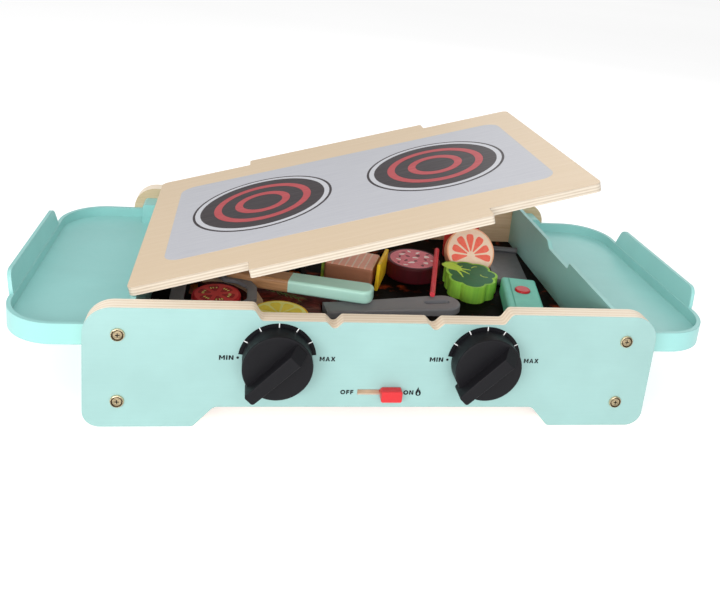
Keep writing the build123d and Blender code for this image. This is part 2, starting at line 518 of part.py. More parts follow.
lemon = cyl_z(-67.5, -86.6, 20.4, FLOOR_Z + 12.9, FLOOR_Z + 19.6)
node("lemon_slice", soften(lemon, 1.2, lemon.edges().filter_by(GeomType.CIRCLE)))

fish_loc = Pos(-3.8, 19.5, 0) * Rot(0, 0, -19.7)
salmon = fish_loc * box(-20, 20, -17, 17, FB, FLOOR_Z + 16.5)
node("salmon_fillet", soften(salmon, 2.5))

cheese = fish_loc * Pos(22.6, -2, 0) * Rot(0, 2.0, 0) * box(-1.5, 1.5, -18, 17.5, FB + 0.1, FLOOR_Z + 23)
node("cheese_slice", soften(cheese, 0.8))

lettuce = fish_loc * box(-23.2, -20.6, -13, 20, FB, FLOOR_Z + 19)
node("lettuce_leaf", soften(lettuce, 0.7))

salami = cyl_z(48.6, 27.5, 22.8, FB, FLOOR_Z + FT)
node("salami_disc", soften(salami, 1.6, salami.edges().filter_by(GeomType.CIRCLE)))

BROC_X, BROC_Y, BROC_K = 89.0, 1.8, 0.93
crown = [(0, -20, 13), (12, -14, 12), (19, -3, 11), (14, 10, 12), (2, 14, 12), (-10, -12, 12), (-4, 2, 17), (8, -2, 16)]
broc = None
for bx, by, br in crown:
    c = cyl_z(BROC_X + bx * 0.86 * BROC_K, BROC_Y + by * 0.95 * BROC_K, br * 0.9 * BROC_K, FB, FLOOR_Z + FT)
    broc = c if broc is None else broc + c
stalk = slab(rounded([(BROC_X - 5, BROC_Y - 3), (BROC_X - 16.5, BROC_Y + 13), (BROC_X - 14.5, BROC_Y + 21.5), (BROC_X - 6, BROC_Y + 22.5), (BROC_X + 5, BROC_Y + 11)], [3, 3, 3, 3, 3]), FB, FLOOR_Z + FT)
broc += stalk
node("broccoli", broc)

# grapefruit half slice, leaning back against the bottle
GF_TILT = 35.0
slice_ = Cylinder(21.0, 10.0) & Pos(0, 8, 0) * Box(60, 50, 20)
slice_ = soften(slice_, 1.0, slice_.faces().sort_by(Axis.Z)[-1].edges())
gz = FB + 17.0 * math.cos(math.radians(GF_TILT)) + 5.0 * math.sin(math.radians(GF_TILT)) + 0.1
node("grapefruit_slice", Pos(99.5, 37.7, gz) * Rot(90 - GF_TILT, 0, 0) * slice_)

# ---------------------------------------------------------------- igniter
ig_loc = Pos(121.8, -42.0, 0) * Rot(0, 0, -11.5)
IG_TOP = FLOOR_Z + 15.5
ig_box = box(-13.8, 13.8, -34, 34, FB, IG_TOP)
ig_box = soften(ig_box, 2.6, ig_box.edges())
BT = (0.5, 10.0)                       # button centre in the igniter's own frame
ig_box -= cyl_z(BT[0], BT[1], 6.25, IG_TOP - 7.5, IG_TOP + 3)
ig_box -= box(-8.6, -7.8, -32, 32, IG_TOP - 0.5, IG_TOP + 0.5)
node("igniter_body", ig_loc * ig_box)
ig_btn = cyl_z(BT[0], BT[1], 5.9, IG_TOP - 4.6, IG_TOP + 1.5)
ig_btn = soften(ig_btn, 1.0, ig_btn.faces().sort_by(Axis.Z)[-1].edges())
ig_btn -= cyl_z(BT[0], BT[1], 4.4, IG_TOP - 5.6, IG_TOP - 1.4)      # hollow that the spring stands in
node("igniter_button", ig_loc * ig_btn)
# the spring, drawn at its pressed length
node("igniter_spring", ig_loc * (cyl_z(BT[0], BT[1], 4.0, IG_TOP - 7.45, IG_TOP - 3.6) - cyl_z(BT[0], BT[1], 3.2, IG_TOP - 9, IG_TOP - 3)))

# ---------------------------------------------------------------- bottle that holds the right side of the board up, out of sight behind the food
BX, BY, BR = 100.0, 69.0, 15.0
b_top = under_board(BX, BY)
prof = [(0, FB), (BR, FB), (BR, b_top - 36), (BR - 1.5, b_top - 30), (8.6, b_top - 23), (8.6, b_top - 18.2), (0, b_top - 18.2)]
bottle = revolve(Plane.XZ * rounded(prof, [0, 1.5, 4, 4, 3, 0, 0]), Axis.Z, 360)
node("sauce_bottle", Pos(BX, BY, 0) * bottle)
prof = [(0, b_top - 18), (10.5, b_top - 18), (9.0, b_top + 4), (0, b_top + 4)]
cap = revolve(Plane.XZ * rounded(prof, [0, 1.0, 0, 0]), Axis.Z, 360)
nz = turned(BOARD_YAW, BOARD_PITCH, BOARD_ROLL)[2][2]
cap &= Pos(0, 0, b_top - 14.1 / nz) * Sphere(14.0)      # domed, so the board lies on it at any slope
node("bottle_cap", Pos(BX, BY, 0) * cap)

# ---------------------------------------------------------------- write the files
for name, shape in nodes.items():
    export_step(shape, "parts/%s.step" % name)
    bb = shape.bounding_box()
    print("%-26s solids %d  vol %9.1f  x %7.1f %7.1f  y %7.1f %7.1f  z %6.1f %6.1f  %s" % (
        name, len(shape.solids()), shape.volume, bb.min.X, bb.max.X, bb.min.Y, bb.max.Y, bb.min.Z, bb.max.Z,
        "" if all(s.is_valid for s in shape.solids()) else "INVALID"))
print(len(nodes), "nodes; board underside over the bottle %.1f, over the turner's end %.1f, over the far left corner %.1f" % (
    b_top, under_board(-100, -40), under_board(-163, 100)))
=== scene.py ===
import bpy
import bmesh
import math
from mathutils import Matrix, Vector


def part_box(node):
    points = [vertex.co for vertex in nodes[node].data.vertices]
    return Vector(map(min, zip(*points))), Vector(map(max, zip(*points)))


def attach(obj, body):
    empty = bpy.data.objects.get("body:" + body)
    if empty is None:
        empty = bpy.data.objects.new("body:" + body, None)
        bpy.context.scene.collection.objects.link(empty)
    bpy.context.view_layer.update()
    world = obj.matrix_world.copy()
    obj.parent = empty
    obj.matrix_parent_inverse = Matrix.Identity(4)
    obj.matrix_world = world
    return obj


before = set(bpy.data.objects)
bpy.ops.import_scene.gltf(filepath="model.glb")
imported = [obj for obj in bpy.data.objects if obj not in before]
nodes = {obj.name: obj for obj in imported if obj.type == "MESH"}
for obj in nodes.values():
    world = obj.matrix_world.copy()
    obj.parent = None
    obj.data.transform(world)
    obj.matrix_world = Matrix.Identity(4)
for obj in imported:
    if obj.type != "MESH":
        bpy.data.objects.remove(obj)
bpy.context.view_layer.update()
scene = bpy.context.scene
MM = 0.001

# ------------------------------------------------------------------ places that part.py gives, in millimetres
YF, T, W, H = -120.0, 12.0, 380.0, 84.0
KNOB_X, KNOB_Z = 69.0, 49.8
SLOT_Z = 25.8
FLOOR_Z = 45.0
ROLL = math.radians(-15.5)
BOARD_T = 6.0
BOARD_AT = (-13.6, 1.0, 84.05 + BOARD_T / math.cos(ROLL) + (-13.6 + 163.0) * math.tan(-ROLL))
BX = Vector((math.cos(ROLL), 0, -math.sin(ROLL)))
BZ = Vector((math.sin(ROLL), 0, math.cos(ROLL)))


def on_board(u, v, w):
    return Vector(BOARD_AT) + BX * u + Vector((0, v, 0)) + BZ * w


def on_front(u, v, w):
    """x, z on the front face, w out of it."""
    return Vector((u, YF - w, v))


def level(z):
    return lambda u, v, w: Vector((u, v, z + w))


# ------------------------------------------------------------------ node helper
class Tree:
    def __init__(self, name, rough=0.5, metallic=0.0, coat=0.0, coat_rough=0.2, spec=0.5):
        self.m = bpy.data.materials.new(name)
        self.m.use_nodes = True
        self.t = self.m.node_tree
        self.t.nodes.clear()
        self.out = self.t.nodes.new("ShaderNodeOutputMaterial")
        self.p = self.t.nodes.new("ShaderNodeBsdfPrincipled")
        self.t.links.new(self.p.outputs[0], self.out.inputs["Surface"])
        self.p.inputs["Roughness"].default_value = rough
        self.p.inputs["Metallic"].default_value = metallic
        self.p.inputs["Coat Weight"].default_value = coat
        self.p.inputs["Coat Roughness"].default_value = coat_rough
        self.p.inputs["Specular IOR Level"].default_value = spec

    def put(self, sock, v):
        if isinstance(v, bpy.types.NodeSocket):
            self.t.links.new(v, sock)
        elif hasattr(sock.default_value, "__len__"):
            n = len(sock.default_value)
            v = tuple(v) if hasattr(v, "__len__") else (v,) * n
            sock.default_value = v[:n] if len(v) >= n else v + (1.0,) * (n - len(v))
        else:
            sock.default_value = v

    def coords(self, loc=(0, 0, 0), rot=(0, 0, 0), scale=1000.0):
        """Object coordinates in millimetres, in a frame at loc (mm) turned by rot."""
        tc = self.t.nodes.new("ShaderNodeTexCoord")
        mp = self.t.nodes.new("ShaderNodeMapping")
        mp.vector_type = "TEXTURE"
        mp.inputs["Location"].default_value = tuple(c * MM for c in loc)
        mp.inputs["Rotation"].default_value = rot
        k = 1.0 / scale
        mp.inputs["Scale"].default_value = (k, k, k)
        self.t.links.new(tc.outputs["Object"], mp.inputs["Vector"])
        return mp.outputs[0]

    def scaled(self, vec, s):
        mp = self.t.nodes.new("ShaderNodeMapping")
        self.t.links.new(vec, mp.inputs["Vector"])
        mp.inputs["Scale"].default_value = s
        return mp.outputs[0]

    def math(self, op, a, b=0.0, clamp=False):
        n = self.t.nodes.new("ShaderNodeMath")
        n.operation = op
        n.use_clamp = clamp
        self.put(n.inputs[0], a)
        self.put(n.inputs[1], b)
        return n.outputs[0]

    def split(self, vec):
        n = self.t.nodes.new("ShaderNodeSeparateXYZ")
        self.t.links.new(vec, n.inputs[0])
        return n.outputs

    def noise(self, vec, scale=1.0, detail=3.0, rough=0.55, distort=0.0):
        n = self.t.nodes.new("ShaderNodeTexNoise")
        self.t.links.new(vec, n.inputs["Vector"])
        n.inputs["Scale"].default_value = scale
        n.inputs["Detail"].default_value = detail
        n.inputs["Roughness"].default_value = rough
        n.inputs["Distortion"].default_value = distort
        return n.outputs["Fac"]

    def voronoi(self, vec, scale=1.0, feature="F1"):
        n = self.t.nodes.new("ShaderNodeTexVoronoi")
        n.feature = feature
        self.t.links.new(vec, n.inputs["Vector"])
        n.inputs["Scale"].default_value = scale
        return n.outputs["Distance"]

    def wave(self, vec, scale=1.0, distort=2.0, detail=2.0, axis="X", kind="BANDS", dscale=1.0):
        n = self.t.nodes.new("ShaderNodeTexWave")
        n.wave_type = kind
        if kind == "BANDS":
            n.bands_direction = axis
        else:
            n.rings_direction = axis
        self.t.links.new(vec, n.inputs["Vector"])
        n.inputs["Scale"].default_value = scale
        n.inputs["Distortion"].default_value = distort
        n.inputs["Detail"].default_value = detail
        n.inputs["Detail Scale"].default_value = dscale
        return n.outputs["Fac"]

    def ramp(self, fac, stops, interp="LINEAR"):
        n = self.t.nodes.new("ShaderNodeValToRGB")
        r = n.color_ramp
        r.interpolation = interp
        while len(r.elements) < len(stops):
            r.elements.new(0.5)
        for e, (p, c) in zip(r.elements, sorted(stops, key=lambda s: s[0])):
            e.position = p
            e.color = (c, c, c, 1) if not hasattr(c, "__len__") else (c[0], c[1], c[2], 1)
        self.t.links.new(fac, n.inputs[0])
        return n.outputs[0]

    def mix(self, fac, a, b, mode="MIX"):
        n = self.t.nodes.new("ShaderNodeMix")
        n.data_type = "RGBA"
        n.blend_type = mode
        self.put(n.inputs["Factor"], fac)
        self.put(n.inputs[6], a)
        self.put(n.inputs[7], b)
        return n.outputs[2]

    def range(self, v, a, b, c, d):
        n = self.t.nodes.new("ShaderNodeMapRange")
        self.t.links.new(v, n.inputs[0])
        for i, q in enumerate((a, b, c, d)):
            n.inputs[i + 1].default_value = q
        return n.outputs[0]

    def colour(self, c):
        self.put(self.p.inputs["Base Color"], c)

    def rough(self, v):
        self.put(self.p.inputs["Roughness"], v)

    def bump(self, height, strength=0.3, dist=0.1, edge=0.0):
        """A relief of dist millimetres; edge rounds the corners of the solid by that many millimetres."""
        b = self.t.nodes.new("ShaderNodeBump")
        b.inputs["Strength"].default_value = strength
        b.inputs["Distance"].default_value = dist * MM
        self.t.links.new(height, b.inputs["Height"])
        if edge:
            v = self.t.nodes.new("ShaderNodeBevel")
            v.samples = 4
            v.inputs["Radius"].default_value = edge * MM
            self.t.links.new(v.outputs[0], b.inputs["Normal"])
        self.t.links.new(b.outputs[0], self.p.inputs["Normal"])
        return self.m


def shade(c, k):
    return tuple(max(0.0, min(1.0, v * k)) for v in c)


# ------------------------------------------------------------------ materials
def paint(name, base, rough=0.42, spread=0.06, grain=0.5, edge=0.5, loc=(0, 0, 0), rot=(0, 0, 0), coat=0.12):
    """Satin paint on wood: slight mottling, the grain telegraphing through, tiny specks, a smoother film in places."""
    t = Tree(name, rough, coat=coat, coat_rough=0.35)
    v = t.coords(loc, rot)
    cloud = t.noise(v, 0.018, 4, 0.55)
    fine = t.noise(v, 0.9, 3, 0.6)
    grainv = t.noise(t.scaled(v, (0.05, 1.0, 1.0)), 0.55, 4, 0.62, 0.3)
    c = t.mix(t.range(cloud, 0.3, 0.7, 0.0, 1.0), shade(base, 1 - spread), shade(base, 1 + spread))
    c = t.mix(t.range(grainv, 0.35, 0.75, 0.0, 0.16), c, shade(base, 0.86))
    c = t.mix(t.range(fine, 0.62, 0.8, 0.0, 0.10), c, shade(base, 1.12))
    t.colour(c)
    t.rough(t.range(t.noise(v, 0.12, 3, 0.6), 0.3, 0.7, rough - 0.05, rough + 0.09))
    h = t.math("ADD", t.math("MULTIPLY", grainv, grain), t.math("MULTIPLY", fine, 0.35))
    return t.bump(h, 0.22, 0.10, edge)


def wood(name, light=(0.80, 0.655, 0.47), dark=(0.60, 0.44, 0.26), rough=0.5, axis=0, loc=(0, 0, 0), rot=(0, 0, 0), edge=0.5, contrast=1.0, coat=0.06, fig=0.22):
    """Sanded birch: long flecks and fine pores along the grain, slow colour drift, faint cathedral figure."""
    t = Tree(name, rough, coat=coat, coat_rough=0.3)
    v = t.coords(loc, rot)
    st = [1.0, 1.0, 1.0]
    st[axis] = 0.045
    g1 = t.noise(t.scaled(v, tuple(st)), 0.42, 5, 0.6, 0.4)
    g2 = t.noise(t.scaled(v, tuple(st)), 1.9, 3, 0.7)
    figure = t.wave(t.scaled(v, tuple(s if i != axis else 0.10 for i, s in enumerate(st))), 0.035, 3.2, 3, "YXY"[axis] if axis != 1 else "X", dscale=0.7)
    drift = t.noise(v, 0.008, 3, 0.5)
    k = t.math("ADD", t.math("MULTIPLY", g1, 0.50), t.math("MULTIPLY", figure, fig))
    k = t.math("ADD", k, t.math("MULTIPLY", drift, 0.28))
    mid = tuple((a + b) / 2 for a, b in zip(light, dark))
    base = t.ramp(k, [(0.30, dark if contrast >= 1 else mid), (0.47, tuple(a * 0.6 + b * 0.4 for a, b in zip(mid, light))), (0.62, light), (0.85, shade(light, 1.06))])
    pores = t.range(g2, 0.60, 0.74, 0.0, 0.30 * contrast)
    t.colour(t.mix(pores, base, shade(dark, 0.72)))
    t.rough(t.range(g1, 0.3, 0.7, rough + 0.08, rough - 0.06))
    return t.bump(t.math("ADD", t.math("MULTIPLY", g2, -0.6), t.math("MULTIPLY", g1, 0.5)), 0.25, 0.12, edge)


def ply_edge(name, axis=1, start=-120.0, step=1.72, loc=(0, 0, 0), rot=(0, 0, 0), tone=1.06, deep=1.0):
    """Sawn and sanded edge of birch plywood: thin veneers, every other one end grain, with small gaps and soft glue lines."""
    t = Tree(name, 0.55, coat=0.05)
    v = t.coords(loc, rot)
    wob = t.noise(t.scaled(v, (0.05, 0.05, 0.05)), 0.9, 2, 0.5)
    c = t.split(v)[axis]
    c = t.math("ADD", c, t.math("MULTIPLY", t.math("SUBTRACT", wob, 0.5), 0.5))
    ph = t.math("DIVIDE", t.math("SUBTRACT", c, start), step * 2)
    fr = t.math("FRACT", ph)
    band = t.ramp(fr, [(0.0, 0.15), (0.04, 0.0), (0.46, 0.05), (0.50, 0.55), (0.54, 1.0), (0.94, 0.85), (0.985, 0.45), (1.0, 0.15)])
    speck = t.noise(v, 2.6, 3, 0.7)
    streak = t.noise(t.scaled(v, (0.07, 1.0, 0.07) if axis == 1 else (0.07, 0.07, 1.0)), 1.3, 3, 0.6)
    light, dark = shade((0.88, 0.78, 0.64), tone), shade((0.73, 0.585, 0.435), tone * deep)
    k = t.math("MULTIPLY", band, t.range(streak, 0.25, 0.75, 0.35, 0.95))
    col = t.mix(k, light, dark)
    col = t.mix(t.range(speck, 0.58, 0.72, 0.0, 0.30), col, (0.46, 0.30, 0.17))
    t.colour(col)
    t.rough(t.range(speck, 0.3, 0.7, 0.62, 0.48))
    return t.bump(t.math("SUBTRACT", t.math("MULTIPLY", speck, 0.5), t.math("MULTIPLY", band, 0.4)), 0.35, 0.15, 0.35)


def plastic(name, base, rough=0.42, fine=2.2, relief=0.05, spread=0.03, edge=0.6, coat=0.0, spec=0.5):
    """Moulded plastic: a fine spark-eroded texture, faint flow marks and slightly uneven gloss."""
    t = Tree(name, rough, coat=coat, coat_rough=0.15, spec=spec)
    v = t.coords()
    flow = t.noise(t.scaled(v, (0.5, 1.0, 0.35)), 0.02, 3, 0.5, 0.6)
    grit = t.noise(v, fine, 3, 0.6)
    c = t.mix(t.range(flow, 0.3, 0.7, 0.0, 1.0), shade(base, 1 - spread), shade(base, 1 + spread))
    c = t.mix(t.range(grit, 0.6, 0.85, 0.0, 0.15), c, shade(base, 1.15))
    t.colour(c)
    t.rough(t.range(t.noise(v, 0.15, 3, 0.6), 0.3, 0.7, rough - 0.04, rough + 0.07))
    return t.bump(grit, 0.25, relief, edge)


def metal(name, base, rough=0.32, edge=0.15, dark=0.45):
    t = Tree(name, rough, metallic=1.0)
    v = t.coords()
    n = t.noise(v, 0.8, 4, 0.65)
    s = t.noise(t.scaled(v, (3.0, 3.0, 0.3)), 1.5, 2, 0.6)
    t.colour(t.mix(t.range(n, 0.35, 0.7, 0.0, 1.0), shade(base, dark), base))
    t.rough(t.range(s, 0.3, 0.7, rough - 0.08, rough + 0.14))
    return t.bump(s, 0.2, 0.05, edge)


MINT = (0.300, 0.495, 0.472)
m_paint = paint("mint_paint", MINT, 0.40, rot=(0, 0, 0))
m_ply_in = wood("panel_inner_wood", (0.74, 0.585, 0.40), (0.56, 0.40, 0.23))
m_ply_front = ply_edge("ply_edge_front", 1, YF, 1.72)
m_ply_back = ply_edge("ply_edge_back", 1, 108.0, 1.72)
m_shelf = plastic("mint_plastic", (0.30, 0.61, 0.585), 0.40, 1.6, 0.04, 0.03, 0.8, coat=0.08)
BROT = (0, ROLL, 0)
m_board = wood("board_wood", (0.740, 0.590, 0.420), (0.660, 0.500, 0.325), 0.45, 0, BOARD_AT, BROT, 0.5, 0.6, coat=0.08, fig=0.07)
# The board's ply edge is a darker copy of the panels' ply edge (tone 0.72, veneers 0.80): painted shade, toning down
# the face the front lamp strikes full on.
m_board_edge = ply_edge("board_edge", 2, -6.0, 1.0, BOARD_AT, BROT, 0.72, 0.80)
m_black = plastic("knob_black", (0.0075, 0.0072, 0.0090), 0.48, 1.9, 0.04, 0.10, 0.35, spec=0.16)
m_black2 = plastic("hidden_black", (0.03, 0.03, 0.032), 0.5)
m_red = plastic("red_gloss", (0.60, 0.020, 0.026), 0.34, 1.2, 0.02, 0.05, 0.5, coat=0.15, spec=0.3)
m_brass = metal("antique_brass", (0.80, 0.66, 0.44), 0.30, dark=0.75)
m_head = metal("screw_head", (0.62, 0.49, 0.31), 0.30, dark=0.4)
m_cup = metal("dark_brass", (0.10, 0.07, 0.04), 0.42)
m_steel = metal("zinc_steel", (0.62, 0.63, 0.65), 0.28)
m_batten = wood("batten_wood", (0.72, 0.57, 0.38), (0.52, 0.37, 0.2), 0.62, 0, edge=0.4)
m_grey = plastic("tool_grey", (0.225, 0.230, 0.250), 0.44, 1.5, 0.05, 0.06, 0.7, spec=0.25)
m_rack = plastic("rack_grey", (0.085, 0.090, 0.098), 0.40, 1.4, 0.04, 0.08, 0.3)
m_white = plastic("white_print", (0.86, 0.87, 0.86), 0.45, 3.0, 0.01, 0.02, 0.0)
m_ink_and_socket_shade = plastic("black_print_and_socket_shade", (0.006, 0.006, 0.008), 0.5, 3.0, 0.01, 0.15, 0.0, spec=0.15)


def ember_floor_material():
    """Matt black printed board with faint charcoal lumps and dim embers."""
    t = Tree("ember_floor_print", 0.6, spec=0.03)
    v = t.coords()
    cells = t.voronoi(v, 0.055)
    n = t.noise(v, 0.06, 4, 0.6)
    glow = t.math("MULTIPLY", t.range(cells, 0.42, 0.72, 0.0, 1.0), t.range(n, 0.56, 0.68, 0.0, 1.0))
    c = t.mix(t.range(t.noise(v, 0.4, 4, 0.7), 0.35, 0.75, 0.0, 1.0), (0.002, 0.0018, 0.0018), (0.010, 0.008, 0.007))
    c = t.mix(glow, c, (0.30, 0.045, 0.010))
    t.colour(c)
    t.rough(t.range(n, 0.3, 0.7, 0.52, 0.68))
    return t.bump(cells, 0.15, 0.1, 0.0)


def ember_print_material():
    t = Tree("ember_print", 0.5)
    v = t.coords()
    n = t.noise(v, 0.07, 5, 0.62, 0.5)
    t.colour(t.ramp(n, [(0.30, (0.10, 0.012, 0.004)), (0.45, (0.42, 0.07, 0.01)), (0.56, (0.85, 0.26, 0.03)), (0.70, (0.95, 0.52, 0.10))]))
    t.rough(t.range(n, 0.3, 0.7, 0.55, 0.42))
    return t.bump(n, 0.1, 0.05, 0.0)


m_floor = ember_floor_material()
m_ember = ember_print_material()


def food(name, base, second, scale=0.12, rough=0.45, streak=(1, 1, 1), amount=0.5, edge=0.5, coat=0.15):
    """Painted play food: two paint tones brushed into each other, brush marks and a satin varnish."""
    # Every colour made here is lifted by 1.38: painted light, making up for the shade the cooktop board casts over the
    # food.
    base, second = shade(base, 1.38), shade(second, 1.38)
    t = Tree(name, rough, coat=coat * 0.2, coat_rough=0.3, spec=0.14)
    v = t.coords()
    n = t.noise(t.scaled(v, streak), scale, 4, 0.6, 0.6)
    b = t.noise(t.scaled(v, (0.2, 1.0, 1.0)), 0.9, 3, 0.6)
    c = t.mix(t.range(n, 0.5 - amount / 2, 0.5 + amount / 2, 0.0, 1.0), base, second)
    c = t.mix(t.range(b, 0.5, 0.8, 0.0, 0.15), c, shade(base, 0.75))
    t.colour(c)
    t.rough(t.range(b, 0.3, 0.7, rough + 0.06, rough - 0.06))
    return t.bump(t.math("ADD", b, t.math("MULTIPLY", n, 0.5)), 0.22, 0.12, edge)


def marbled():
    """Steak: dark seared crust with lighter fibres and a few fine fat veins."""
    t = Tree("steak_top", 0.45, coat=0.03, coat_rough=0.25, spec=0.12)
    v = t.coords()
    n = t.noise(v, 0.07, 5, 0.65, 1.2)
    f = t.noise(t.scaled(v, (0.25, 1.0, 1.0)), 0.35, 4, 0.65, 0.8)
    vein = t.voronoi(t.scaled(v, (0.6, 1.0, 1.0)), 0.07, "DISTANCE_TO_EDGE")
    c = t.ramp(n, [(0.30, (0.020, 0.004, 0.003)), (0.48, (0.080, 0.011, 0.009)), (0.62, (0.170, 0.022, 0.016)), (0.8, (0.24, 0.045, 0.03))])
    c = t.mix(t.range(f, 0.55, 0.75, 0.0, 0.45), c, (0.22, 0.06, 0.04))
    c = t.mix(t.math("MULTIPLY", t.range(vein, 0.0, 0.05, 0.35, 0.0), t.range(f, 0.35, 0.6, 0.0, 1.0)), c, (0.36, 0.16, 0.11))
    t.colour(c)
    t.rough(t.range(n, 0.3, 0.7, 0.5, 0.36))
    return t.bump(t.math("ADD", n, f), 0.3, 0.2, 0.6)


m_steak = marbled()
m_steak_side = food("steak_side", (0.035, 0.008, 0.007), (0.085, 0.016, 0.013), 0.2)
m_bone = food("steak_bone", (0.62, 0.50, 0.34), (0.46, 0.30, 0.20), 0.1)
m_herb = food("herb_green", (0.05, 0.115, 0.03), (0.12, 0.20, 0.06), 0.8)
m_tom = food("tomato_red", (0.56, 0.030, 0.038), (0.44, 0.018, 0.024), 0.1)
m_tom_dark = food("tomato_gel", (0.30, 0.022, 0.026), (0.42, 0.05, 0.045), 0.4)
m_tom_light = food("tomato_flesh", (0.66, 0.085, 0.085), (0.58, 0.06, 0.06), 0.2)
m_lemon = food("lemon_rind", (0.95, 0.52, 0.02), (0.88, 0.44, 0.015), 0.3)
m_pith = food("lemon_pith", (1.0, 0.80, 0.26), (0.98, 0.74, 0.20), 0.2)
m_lemseg = food("lemon_flesh", (1.0, 0.60, 0.05), (1.0, 0.68, 0.12), 0.5)
m_salmon_side = food("salmon_side", (0.42, 0.185, 0.105), (0.30, 0.12, 0.07), 0.06, streak=(0.25, 0.25, 1.6), amount=0.4)
m_cheese = food("cheese_yellow", (0.92, 0.55, 0.020), (0.74, 0.38, 0.02), 0.12)
m_lettuce = food("lettuce_green", (0.50, 0.60, 0.07), (0.20, 0.36, 0.06), 0.14)
m_sal_side = food("salami_side", (0.075, 0.004, 0.010), (0.035, 0.006, 0.007), 0.05, streak=(1, 1, 0.1), amount=0.3)
m_sal_top = food("salami_pink", (0.62, 0.17, 0.21), (0.50, 0.11, 0.15), 0.25)
m_sal_fat = food("salami_fat", (0.82, 0.66, 0.66), (0.75, 0.55, 0.55), 0.5)
m_sal_dark = food("salami_pepper", (0.16, 0.03, 0.04), (0.09, 0.015, 0.02), 0.5)
# The darker green vertical streaks down the broccoli's side are painted shade.
m_broc_side = food("broccoli_lime", (0.31, 0.60, 0.06), (0.16, 0.40, 0.05), 0.09, streak=(1, 1, 0.05), amount=0.35)
m_broc_dark = food("broccoli_green", (0.020, 0.150, 0.060), (0.014, 0.115, 0.045), 0.3)
m_broc_lime = food("broccoli_vein", (0.46, 0.68, 0.08), (0.38, 0.60, 0.07), 0.3)
m_gf_peel = food("grapefruit_peel", (0.80, 0.40, 0.25), (0.72, 0.33, 0.18), 0.2)
m_gf_pith = food("grapefruit_pith", (0.87, 0.58, 0.46), (0.84, 0.50, 0.38), 0.2)
m_gf_seg = food("grapefruit_flesh", (0.72, 0.10, 0.07), (0.78, 0.17, 0.12), 0.4)
m_stick = food("stick_red", (0.52, 0.030, 0.050), (0.60, 0.060, 0.075), 0.1)
m_ign = food("igniter_mint", (0.165, 0.52, 0.43), (0.14, 0.46, 0.385), 0.06, edge=0.7)
m_bottle = food("bottle_red", (0.60, 0.05, 0.04), (0.50, 0.035, 0.03), 0.08)
m_cap = wood("bottle_cap_wood", (0.78, 0.62, 0.42), (0.6, 0.43, 0.25), 0.5, 2)


def salmon_top_material():
    """Pink paint with pale wavy fat lines."""
    t = Tree("salmon_top", 0.42, coat=0.03, spec=0.15)
    v = t.coords((-3.8, 19.5, 0), (0, 0, math.radians(-19.7)))
    w = t.wave(t.scaled(v, (1.0, 0.35, 1.0)), 0.055, 5.0, 2, "X", dscale=0.8)
    n = t.noise(v, 0.3, 3, 0.6)
    c = t.mix(t.range(w, 0.80, 0.94, 0.0, 1.0), (0.95, 0.47, 0.35), (0.97, 0.72, 0.60))
    c = t.mix(t.range(n, 0.5, 0.8, 0.0, 0.3), c, (0.70, 0.26, 0.18))
    t.colour(c)
    t.rough(t.range(n, 0.3, 0.7, 0.46, 0.34))
    return t.bump(n, 0.2, 0.1, 0.6)


m_salmon_top = salmon_top_material()


def handle_material():
    """Turned wood whose outer half is dipped in mint paint."""
    t = Tree("turner_handle", 0.42, coat=0.12)
    v = t.coords()
    x, y, z = t.split(v)
    s = t.math("ADD", t.math("MULTIPLY", x, 0.951), t.math("MULTIPLY", y, -0.309))
    n = t.noise(v, 0.5, 3, 0.6)
    s = t.math("ADD", s, t.math("MULTIPLY", n, 0.5))
    mask = t.range(s, -43.0, -42.6, 0.0, 1.0)
    g = t.noise(t.scaled(t.coords((-104, -24, 0), (0, 0, math.radians(-18))), (0.05, 1, 1)), 0.6, 5, 0.62, 0.4)
    wd = t.ramp(g, [(0.3, (0.36, 0.17, 0.07)), (0.5, (0.50, 0.26, 0.12)), (0.7, (0.62, 0.35, 0.17))])
    pt = t.mix(t.range(t.noise(v, 0.03, 3, 0.5), 0.3, 0.7, 0.0, 1.0), (0.50, 0.86, 0.75), (0.54, 0.90, 0.79))
    t.colour(t.mix(mask, wd, pt))
    t.rough(t.range(mask, 0.0, 1.0, 0.5, 0.36))
    return t.bump(t.math("MULTIPLY", g, t.range(mask, 0, 1, 1.0, 0.25)), 0.3, 0.15, 0.6)


m_handle = handle_material()


def print_material(name, base, second, rough=0.46):
    """Screen print on the varnished board: even ink, faint grain below it, tiny pinholes."""
    t = Tree(name, rough, coat=0.04, coat_rough=0.3, spec=0.35)
    v = t.coords(BOARD_AT, BROT)
    g = t.noise(t.scaled(v, (0.05, 1, 1)), 0.6, 4, 0.6)
    p = t.noise(v, 2.4, 3, 0.7)
    c = t.mix(t.range(g, 0.35, 0.7, 0.0, 1.0), base, second)
    c = t.mix(t.range(p, 0.70, 0.82, 0.0, 0.35), c, shade(base, 1.2))
    t.colour(c)
    t.rough(t.range(g, 0.3, 0.7, rough + 0.05, rough - 0.04))
    return t.bump(g, 0.12, 0.08, 0.0)


m_field = print_material("field_grey", (0.50, 0.505, 0.545), (0.545, 0.55, 0.585))
m_ring_dark = print_material("ring_dark", (0.030, 0.022, 0.026), (0.045, 0.034, 0.038))
m_ring_light = print_material("ring_light", (0.56, 0.565, 0.60), (0.60, 0.605, 0.64))
m_ring_red = print_material("ring_red", (0.44, 0.055, 0.065), (0.50, 0.075, 0.085))


# ------------------------------------------------------------------ assigning materials to the CAD nodes
def by_face(node, mats, pick):
    o = nodes[node]
    o.data.materials.clear()
    for m in mats:
        o.data.materials.append(m)
    for p in o.data.polygons:
        p.material_index = pick(p)


def plain(m, *names):
    for n in names:
        by_face(n, [m], lambda p: 0)


by_face("front_panel", [m_paint, m_ply_in, m_ply_front], lambda p: 0 if p.normal.y < -0.9 and p.center.y < -0.1199 else (1 if p.normal.y > 0.9 else 2))
by_face("back_panel", [m_paint, m_ply_in, m_ply_back], lambda p: 0 if p.normal.y > 0.9 and p.center.y > 0.1199 else (1 if p.normal.y < -0.9 else 2))
plain(m_shelf, "side_shelf_left", "side_shelf_right")


